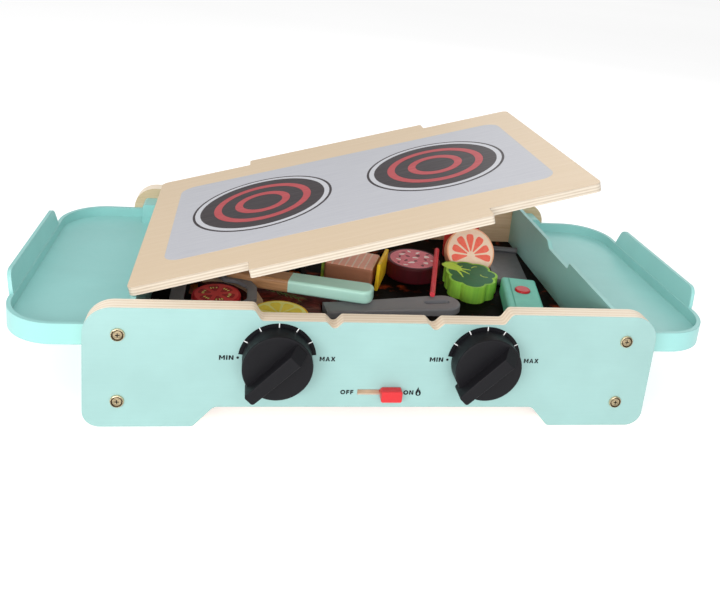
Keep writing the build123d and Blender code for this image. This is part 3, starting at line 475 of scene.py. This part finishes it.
def from_screw(p):
    """Distance in mm from the axis of the nearest panel screw."""
    return min(math.hypot(p.center.x / MM - sx * 168.5, p.center.z / MM - z) for sx in (-1, 1) for z in (65.5, 18.7))


for n, out in (("front", -1), ("back", 1)):
    by_face("cup_washers_" + n, [m_brass, m_cup], lambda p: 1 if from_screw(p) < 3.95 else 0)
    # The socket walls and floor inside each screw head take the black print colour: painted shade in the recess.
    by_face("panel_screws_" + n, [m_head, m_ink_and_socket_shade], lambda p, o=out: 1 if from_screw(p) < 1.7 and (abs(p.normal.y) < 0.3 or (p.normal.y * o > 0.9 and abs(p.center.y / MM) < 120.5)) else 0)
plain(m_brass, "turner_screw")
plain(m_floor, "ember_floor")
plain(m_ember, "ember_shutter")
plain(m_batten, "floor_cleat_front_left", "floor_cleat_front_right", "floor_cleat_back", "shutter_guide_back", "shutter_guide_front")
plain(m_steel, "floor_screws", "guide_screws", "switch_screws", "knob_washer_left", "knob_washer_right", "knob_screw_left", "knob_screw_right", "igniter_spring")
plain(m_red, "switch_button", "igniter_button")
plain(m_black2, "switch_slider")
plain(m_black, "knob_left", "knob_right")
by_face("cooktop_board", [m_board, m_board_edge], lambda p: 0 if abs(p.normal.dot(BZ)) > 0.9 else 1)
plain(m_handle, "turner_handle")
plain(m_grey, "turner_head", "serving_spatula")
plain(m_rack, "rack_plate", "rack_rods")
plain(m_stick, "skewer_stick")
by_face("steak", [m_steak, m_steak_side], lambda p: 0 if p.normal.z > 0.5 else 1)
plain(m_tom, "tomato_slice")
plain(m_lemon, "lemon_slice")
by_face("salmon_fillet", [m_salmon_top, m_salmon_side], lambda p: 0 if p.normal.z > 0.6 else 1)
plain(m_cheese, "cheese_slice")
plain(m_lettuce, "lettuce_leaf")
plain(m_sal_side, "salami_disc")
plain(m_broc_side, "broccoli")
plain(m_gf_peel, "grapefruit_slice")
plain(m_ign, "igniter_body")
plain(m_bottle, "sauce_bottle")
plain(m_cap, "bottle_cap")


# ------------------------------------------------------------------ thin printed layers
def prints(name, polys, place, body, thick=0.10):
    """Ink or paint layers. polys is a list of (outline in mm, material, height of the top, holes); place maps u, v, w in mm to the part's frame in mm."""
    me = bpy.data.meshes.new(name)
    bm = bmesh.new()
    mats = []
    for item in polys:
        pts, m, top = item[0], item[1], item[2]
        inner = item[3] if len(item) > 3 else None
        if m not in mats:
            mats.append(m)
        k = mats.index(m)
        base = top - thick
        up = [bm.verts.new(place(u, v, top) * MM) for u, v in pts]
        lo = [bm.verts.new(place(u, v, base) * MM) for u, v in pts]
        n = len(pts)
        fs = []
        for i in range(n):
            j = (i + 1) % n
            fs.append(bm.faces.new((lo[i], lo[j], up[j], up[i])))
        if inner:
            iu = [bm.verts.new(place(u, v, top) * MM) for u, v in inner]
            il = [bm.verts.new(place(u, v, base) * MM) for u, v in inner]
            for i in range(n):
                j = (i + 1) % n
                fs.append(bm.faces.new((up[i], up[j], iu[j], iu[i])))
                fs.append(bm.faces.new((iu[i], iu[j], il[j], il[i])))
        else:
            fs.append(bm.faces.new(up))
        for f in fs:
            f.material_index = k
    bmesh.ops.recalc_face_normals(bm, faces=bm.faces[:])
    bm.to_mesh(me)
    bm.free()
    for m in mats:
        me.materials.append(m)
    o = bpy.data.objects.new(name, me)
    scene.collection.objects.link(o)
    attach(o, body)
    return o


def circle(cx, cy, r, n=72, a0=0.0, a1=360.0):
    full = abs(a1 - a0) >= 360
    m = n if full else n + 1
    return [(cx + r * math.cos(math.radians(a0 + (a1 - a0) * i / n)), cy + r * math.sin(math.radians(a0 + (a1 - a0) * i / n))) for i in range(m)]


def rrect(x0, x1, y0, y1, r, n=10):
    out = []
    for cx, cy, a in ((x1 - r, y1 - r, 0), (x0 + r, y1 - r, 90), (x0 + r, y0 + r, 180), (x1 - r, y0 + r, 270)):
        for i in range(n + 1):
            b = math.radians(a + 90 * i / n)
            out.append((cx + r * math.cos(b), cy + r * math.sin(b)))
    return out


def blob(cx, cy, r, seed=0.0, rough=0.22, n=28, sx=1.0, sy=1.0, turn=0.0):
    out = []
    for i in range(n):
        a = 2 * math.pi * i / n
        k = 1 + rough * (0.55 * math.sin(2 * a + seed * 1.7) + 0.35 * math.sin(3 * a + seed * 2.9) + 0.2 * math.sin(5 * a + seed * 4.3))
        x, y = r * k * math.cos(a) * sx, r * k * math.sin(a) * sy
        out.append((cx + x * math.cos(turn) - y * math.sin(turn), cy + x * math.sin(turn) + y * math.cos(turn)))
    return out


def wedge(cx, cy, r0, r1, a0, a1, soft=0.25, n=10):
    """Fruit segment between two radii and two angles, with soft corners."""
    am = (a0 + a1) / 2
    half = (a1 - a0) / 2
    out = []
    for i in range(n + 1):
        s = -1 + 2 * i / n
        a = math.radians(am + s * half * 0.92)
        rr = r1 - (r1 - r0) * soft * abs(s) ** 5
        out.append((cx + rr * math.cos(a), cy + rr * math.sin(a)))
    for i in range(5):
        s = 1 - 2 * i / 4
        a = math.radians(am + s * half * 0.45)
        out.append((cx + r0 * math.cos(a), cy + r0 * math.sin(a)))
    return out


def strip(pts, w):
    """A stroke of width w along points, thinner at its ends."""
    left, right = [], []
    n = len(pts)
    for i, (x, y) in enumerate(pts):
        a, b = pts[max(0, i - 1)], pts[min(n - 1, i + 1)]
        d = Vector((b[0] - a[0], b[1] - a[1])).normalized()
        k = w / 2 * (0.45 if i in (0, n - 1) else 1.0)
        left.append((x - d.y * k, y + d.x * k))
        right.append((x + d.y * k, y - d.x * k))
    return left + right[::-1]


# cooktop: grey field, two burners
R = 54.0
field = rrect(-138.0, 138.0, -77.0, 76.0, 12.0)
polys = [(field, m_field, 0.10)]
for cx in (-69.5, 67.0):
    cy = 1.0
    for r0, r1, m, h in ((0.965, 1.0, m_ring_dark, 0.20), (0.893, 0.965, m_ring_light, 0.20), (0.0, 0.893, m_ring_dark, 0.20), (0.588, 0.697, m_ring_red, 0.28), (0.283, 0.395, m_ring_red, 0.28)):
        if r0:
            polys.append((circle(cx, cy, r1 * R, 128), m, h, circle(cx, cy, r0 * R, 128)))
        else:
            polys.append((circle(cx, cy, r1 * R, 128), m, h))
prints("cooktop_print", polys, on_board, "cooktop")

# dials, ticks, dots and words on the front
polys = []
for sx in (-1, 1):
    cx = sx * KNOB_X
    a = circle(cx, KNOB_Z, 25.2, 64, 7, 173)
    b = circle(cx, KNOB_Z, 18.5, 64, 7, 173)
    polys.append((a, m_ink_and_socket_shade, 0.08, b))
    for ang in (30, 60, 90, 120, 150):
        c, s = math.cos(math.radians(ang)), math.sin(math.radians(ang))
        polys.append(([(cx + r * c - q * s * 0.33, KNOB_Z + r * s + q * c * 0.33) for r, q in ((21.8, -1), (25.3, -1), (25.3, 1), (21.8, 1))], m_white, 0.14))
    polys.append((circle(cx - 25.2, KNOB_Z + 0.6, 0.85, 24), m_ink_and_socket_shade, 0.08))
flame = [(0.0, -3.4), (1.2, -3.1), (1.9, -2.0), (1.8, -0.7), (1.25, 0.5), (0.9, 1.4), (0.55, 0.9), (0.45, 0.1), (0.2, 1.6), (-0.1, 3.4), (-0.7, 2.1), (-1.3, 0.8), (-1.8, -0.6), (-1.8, -2.0), (-1.15, -3.1)]
fx, fz = 26.6, SLOT_Z + 0.6
polys.append(([(fx + u, fz + v) for u, v in flame], m_ink_and_socket_shade, 0.08))
drop = [(0.0, -2.7), (0.6, -2.3), (0.7, -1.5), (0.3, -0.8), (0.0, -0.1), (-0.35, -0.9), (-0.65, -1.6), (-0.55, -2.3)]
polys.append(([(fx + u, fz + v) for u, v in drop], m_paint, 0.13))


def letter(c, s=0.29):
    """Outlines of one bold block letter of height 1: its width and its pieces, each with an optional hole."""
    if c == "I":
        return s, [([(0, 0), (s, 0), (s, 1), (0, 1)], None)]
    if c == "N":
        w, t = 0.95, s * 1.15
        return w, [([(0, 0), (0, 1), (t, 1), (w - s, 0.36), (w - s, 1), (w, 1), (w, 0), (w - t, 0), (s, 0.64), (s, 0)], None)]
    if c == "M":
        w, t = 1.16, s * 1.1
        return w, [([(0, 0), (0, 1), (t, 1), (w / 2, 0.47), (w - t, 1), (w, 1), (w, 0), (w - s, 0), (w - s, 0.62), (w / 2, 0.12), (s, 0.62), (s, 0)], None)]
    if c == "A":
        w, q = 1.08, s * 1.08
        k = lambda h: q + (w / 2 - q) * h / 0.74
        return w, [([(0, 0), (w / 2 - 0.13, 1), (w / 2 + 0.13, 1), (w, 0), (w - q, 0), (w / 2, 0.74), (q, 0)], None),
                   ([(k(0.2), 0.2), (w - k(0.2), 0.2), (w - k(0.38), 0.38), (k(0.38), 0.38)], None)]
    if c == "X":
        w, q = 1.05, s * 1.22
        return w, [([(0, 0), (w / 2 - q * 0.62, 0.51), (0.03, 1), (0.03 + q, 1), (w / 2, 0.66), (w - 0.03 - q, 1), (w - 0.03, 1), (w / 2 + q * 0.62, 0.51), (w, 0), (w - q, 0), (w / 2, 0.36), (q, 0)], None)]
    if c == "F":
        w = 0.72
        return w, [([(0, 0), (0, 1), (w, 1), (w, 1 - s * 0.9), (s, 1 - s * 0.9), (s, 0.61), (w * 0.9, 0.61), (w * 0.9, 0.61 - s * 0.9), (s, 0.61 - s * 0.9), (s, 0)], None)]
    w = 1.14
    a = [(w / 2 + w / 2 * math.cos(math.tau * i / 40), 0.5 + 0.52 * math.sin(math.tau * i / 40)) for i in range(40)]
    b = [(w / 2 + (w / 2 - s) * math.cos(math.tau * i / 40), 0.5 + (0.52 - s * 0.92) * math.sin(math.tau * i / 40)) for i in range(40)]
    return w, [(a, b)]


def word(text, x, z, height, width):
    glyphs = [letter(c) for c in text]
    gap = 0.20
    total = sum(g[0] for g in glyphs) + gap * (len(text) - 1)
    kx = width / total
    u = 0.0
    out = []
    for w, pieces in glyphs:
        for pts, hole in pieces:
            put = lambda q: (x - width / 2 + (u + q[0]) * kx, z + (q[1] - 0.5) * height)
            row = ([put(q) for q in pts], m_ink_and_socket_shade, 0.08)
            out.append(row + ([put(q) for q in hole],) if hole else row)
        u += w + gap
    return out


for text, x, z, h, w in (("MIN", -KNOB_X - 32.4, KNOB_Z + 0.6, 3.2, 9.2), ("MAX", -KNOB_X + 32.6, KNOB_Z + 0.2, 3.2, 10.3),
                         ("MIN", KNOB_X - 32.6, KNOB_Z + 0.6, 3.2, 9.2), ("MAX", KNOB_X + 33.4, KNOB_Z + 0.2, 3.2, 10.3),
                         ("OFF", -21.7, SLOT_Z - 0.1, 3.2, 8.7), ("ON", 19.9, SLOT_Z - 0.3, 3.2, 6.9)):
    polys += word(text, x, z, h, w)
prints("front_print", polys, on_front, "grill")



# ------------------------------------------------------------------ food faces
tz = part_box("tomato_slice")[1].z / MM
tx, ty = -111.0, -54.0
polys = [(circle(tx, ty, 15.4, 64), m_tom_light, 0.06)]
for i in range(6):
    a = 60 * i + 12
    polys.append((wedge(tx, ty, 4.2, 13.2, a + 7, a + 53, 0.3), m_tom_dark, 0.12))
    for q in (-10, 4, 15):
        b = math.radians(a + 30 + q)
        polys.append((blob(tx + 9.5 * math.cos(b), ty + 9.5 * math.sin(b), 0.75, i + q, 0.15, 12, 1.5, 0.8, b), m_pith, 0.17))
prints("tomato_face", polys, level(tz), "tomato_slice")

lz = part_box("lemon_slice")[1].z / MM
lx, ly = -67.5, -86.6
polys = [(circle(lx, ly, 18.6, 72), m_pith, 0.06)]
for i in range(9):
    polys.append((wedge(lx, ly, 2.6, 16.2, 40 * i + 3, 40 * i + 37, 0.2), m_lemseg, 0.12))
prints("lemon_face", polys, level(lz), "grill")

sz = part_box("steak")[1].z / MM
bone = [(-124, -21), (-119, -15.5), (-110, -13), (-100, -16), (-90, -25), (-82, -38), (-78, -52), (-77, -66), (-82, -67), (-84, -54), (-87.5, -44), (-92.5, -36.5), (-99, -29), (-107, -24), (-116, -23), (-122, -25.5)]
polys = [(bone, m_bone, 0.08)]
stem = [(-76, -33), (-70, -36), (-64, -40), (-57, -45), (-51, -49)]
polys.append((strip(stem, 0.8), m_herb, 0.12))
for i in range(18):
    s = i / 17 * (len(stem) - 1)
    k = min(int(s), len(stem) - 2)
    px = stem[k][0] + (stem[k + 1][0] - stem[k][0]) * (s - k)
    py = stem[k][1] + (stem[k + 1][1] - stem[k][1]) * (s - k)
    side = 1 if i % 2 else -1
    a = math.atan2(stem[k + 1][1] - stem[k][1], stem[k + 1][0] - stem[k][0]) + side * (0.75 + 0.12 * math.sin(i * 2.1))
    ln = 5.2 + 1.6 * math.sin(i * 1.3)
    polys.append((strip([(px, py), (px + ln * 0.5 * math.cos(a), py + ln * 0.5 * math.sin(a)), (px + ln * math.cos(a - side * 0.2), py + ln * math.sin(a - side * 0.2))], 0.75), m_herb, 0.12))
prints("steak_face", polys, level(sz), "grill")

cx, cy = 48.6, 27.5
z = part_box("salami_disc")[1].z / MM
polys = [(circle(cx, cy, 19.6, 72), m_sal_top, 0.06)]
spots = [(-8, 9, 2.0, 1), (6, 12, 1.7, 1), (12, 4, 2.2, 1), (2, 2, 1.8, 1), (-3, -8, 2.1, 1), (9, -9, 2.0, 1), (-13, -2, 1.6, 1), (-9, -13, 1.5, 1), (15, -4, 1.4, 1), (-1, 15, 1.5, 1),
         (-4, 5, 1.5, 0), (5, 6, 1.8, 0), (-11, 4, 1.3, 0), (10, -2, 1.4, 0), (1, -5, 1.4, 0), (-7, -4, 1.5, 0), (5, -14, 1.5, 0), (-6, 13, 1.3, 0), (14, 9, 1.3, 0), (-14, -8, 1.2, 0)]
for i, (u, v, r, fat) in enumerate(spots):
    polys.append((blob(cx + u, cy + v, r, i * 1.3, 0.35, 20, 1.25, 0.85, i * 0.9), m_sal_fat if fat else m_sal_dark, 0.12))
prints("salami_face", polys, level(z), "grill")

# broccoli: dark crown inside a lime rim, with lime veins
bxc, byc, bk = 89.0, 1.8, 0.93
crown = [(0, -20, 13), (12, -14, 12), (19, -3, 11), (14, 10, 12), (2, 14, 12), (-10, -12, 12), (-4, 2, 17), (8, -2, 16)]
circ = [(bxc + a * 0.86 * bk, byc + b * 0.95 * bk, r * 0.9 * bk) for a, b, r in crown]
o0 = (bxc + 3.0, byc - 3.0)
outer = []
for i in range(120):
    a = 2 * math.pi * i / 120
    d = (math.cos(a), math.sin(a))
    best = 0
    for px, py, r in circ:
        qx, qy = px - o0[0], py - o0[1]
        along = qx * d[0] + qy * d[1]
        off = abs(qx * d[1] - qy * d[0])
        if off < r - 1.4:
            best = max(best, along + math.sqrt((r - 1.4) ** 2 - off ** 2))
    outer.append((o0[0] + (best - 0.6) * d[0], o0[1] + (best - 0.6) * d[1]))
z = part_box("broccoli")[1].z / MM
polys = [(outer, m_broc_dark, 0.07)]
sk = (bxc - 9, byc + 9)
for ex, ey, w in ((4, 5, 2.0), (1, -3, 2.2), (-6, -9, 2.0), (-1, 13, 1.6)):
    polys.append((strip([(sk[0], sk[1]), ((sk[0] + bxc + ex) / 2 + 1, (sk[1] + byc + ey) / 2), (bxc + ex, byc + ey)], w), m_broc_lime, 0.13))
polys.append((blob(sk[0] - 1, sk[1] + 3, 7.4, 2.0, 0.2, 28, 0.9, 1.2, 0.4), m_broc_lime, 0.12))
for q in ((10, 8, 200, 60), (14, -4, 300, 70)):
    arc = circle(bxc + q[0], byc + q[1], 4.2, 10, q[2] - 130, q[2] - 130 + q[3] * 1.6)
    polys.append((strip(arc, 0.8), m_broc_lime, 0.13))
prints("broccoli_face", polys, level(z), "grill")

# grapefruit: the face that looks at the viewer
tilt = math.radians(35)
gz = FLOOR_Z + 0.1 + 17.0 * math.cos(tilt) + 5.0 * math.sin(tilt) + 0.1
G0 = Vector((99.5, 37.7, gz))
GY = Vector((0, math.cos(math.pi / 2 - tilt), math.sin(math.pi / 2 - tilt)))
GN = Vector((0, -math.sin(math.pi / 2 - tilt), math.cos(math.pi / 2 - tilt)))


def on_gf(u, v, w):
    return G0 + Vector((u, 0, 0)) + GY * v + GN * (5.0 + w)


def clipped(pts, v0):
    return [(u, max(v, v0)) for u, v in pts]


polys = [(clipped(circle(0, 0, 19.6, 90), -16.0), m_gf_pith, 0.06)]
for i in range(7):
    a0 = -25 + 33 * i
    polys.append((clipped(wedge(0, -3.5, 3.4, 18.4 if 40 < a0 < 130 else 17.2, a0 + 2.5, a0 + 30, 0.25), -14.5), m_gf_seg, 0.12))
prints("grapefruit_face", polys, on_gf, "grill")

# ------------------------------------------------------------------ stage, light and camera
bpy.ops.mesh.primitive_plane_add(size=60, location=(0, 0, -0.0002))
ground = bpy.context.active_object
ground.name = "studio_floor"
tg = Tree("studio_floor", 0.9)
gv = tg.coords(scale=1.0)
tg.colour(tg.mix(tg.range(tg.noise(gv, 0.6, 2, 0.5), 0.3, 0.7, 0.0, 1.0), (0.60, 0.60, 0.60), (0.64, 0.64, 0.64)))
tg.p.inputs["Emission Color"].default_value = (1, 1, 1, 1)
tg.p.inputs["Emission Strength"].default_value = 0.62
tg.p.inputs["Specular IOR Level"].default_value = 0.0
ground.data.materials.append(tg.m)

world = bpy.data.worlds.new("studio")
scene.world = world
world.use_nodes = True
bg = world.node_tree.nodes["Background"]
bg.inputs["Color"].default_value = (1.0, 1.0, 1.0, 1)
bg.inputs["Strength"].default_value = 0.52


def area(name, loc, aim, size, power, col=(1, 1, 1)):
    d = bpy.data.lights.new(name, "AREA")
    d.shape = "RECTANGLE"
    d.size, d.size_y = size
    d.energy = power
    d.color = col
    o = bpy.data.objects.new(name, d)
    scene.collection.objects.link(o)
    o.location = loc
    o.rotation_euler = (Vector(aim) - Vector(loc)).to_track_quat("-Z", "Y").to_euler()
    return o


area("key", (-0.35, -0.35, 1.55), (0, 0, 0.05), (1.3, 1.3), 7.0)
area("front", (0.10, -1.45, 0.60), (0, 0, 0.06), (1.3, 0.7), 8.0)
area("left", (-0.85, -1.15, 0.42), (0.1, 0.0, 0.06), (0.7, 0.5), 8.5)
area("rim", (0.7, 1.2, 1.0), (0, 0, 0.1), (1.2, 0.8), 4.0)

scene.view_settings.view_transform = "Standard"
scene.view_settings.look = "None"

cam_data = bpy.data.cameras.new("camera")
cam = bpy.data.objects.new("camera", cam_data)
scene.collection.objects.link(cam)
scene.camera = cam
CAM_R = ((0.9864751335085487, -0.1365256731049367, 0.0907058518097645),
         (0.05109893625949784, -0.26965568695861236, -0.9616000775811255),
         (0.1557424466304507, 0.9532295374536622, -0.2590323131260624))
CAM_C = (-97.93541885636796, -577.9661949455193, 318.19566552926534)
right, down, ahead = (Vector(r) for r in CAM_R)
rot = Matrix((right, -down, -ahead)).transposed()
cam.matrix_world = Matrix.Translation(Vector(CAM_C) * MM) @ rot.to_4x4()
cam_data.sensor_width = 36.0
cam_data.lens = 792.5623 / 720 * 36.0
cam_data.shift_x = (360 - 367.756) / 720
cam_data.shift_y = -(306 - 147.6) / 720
cam_data.clip_start = 0.02
cam_data.clip_end = 50
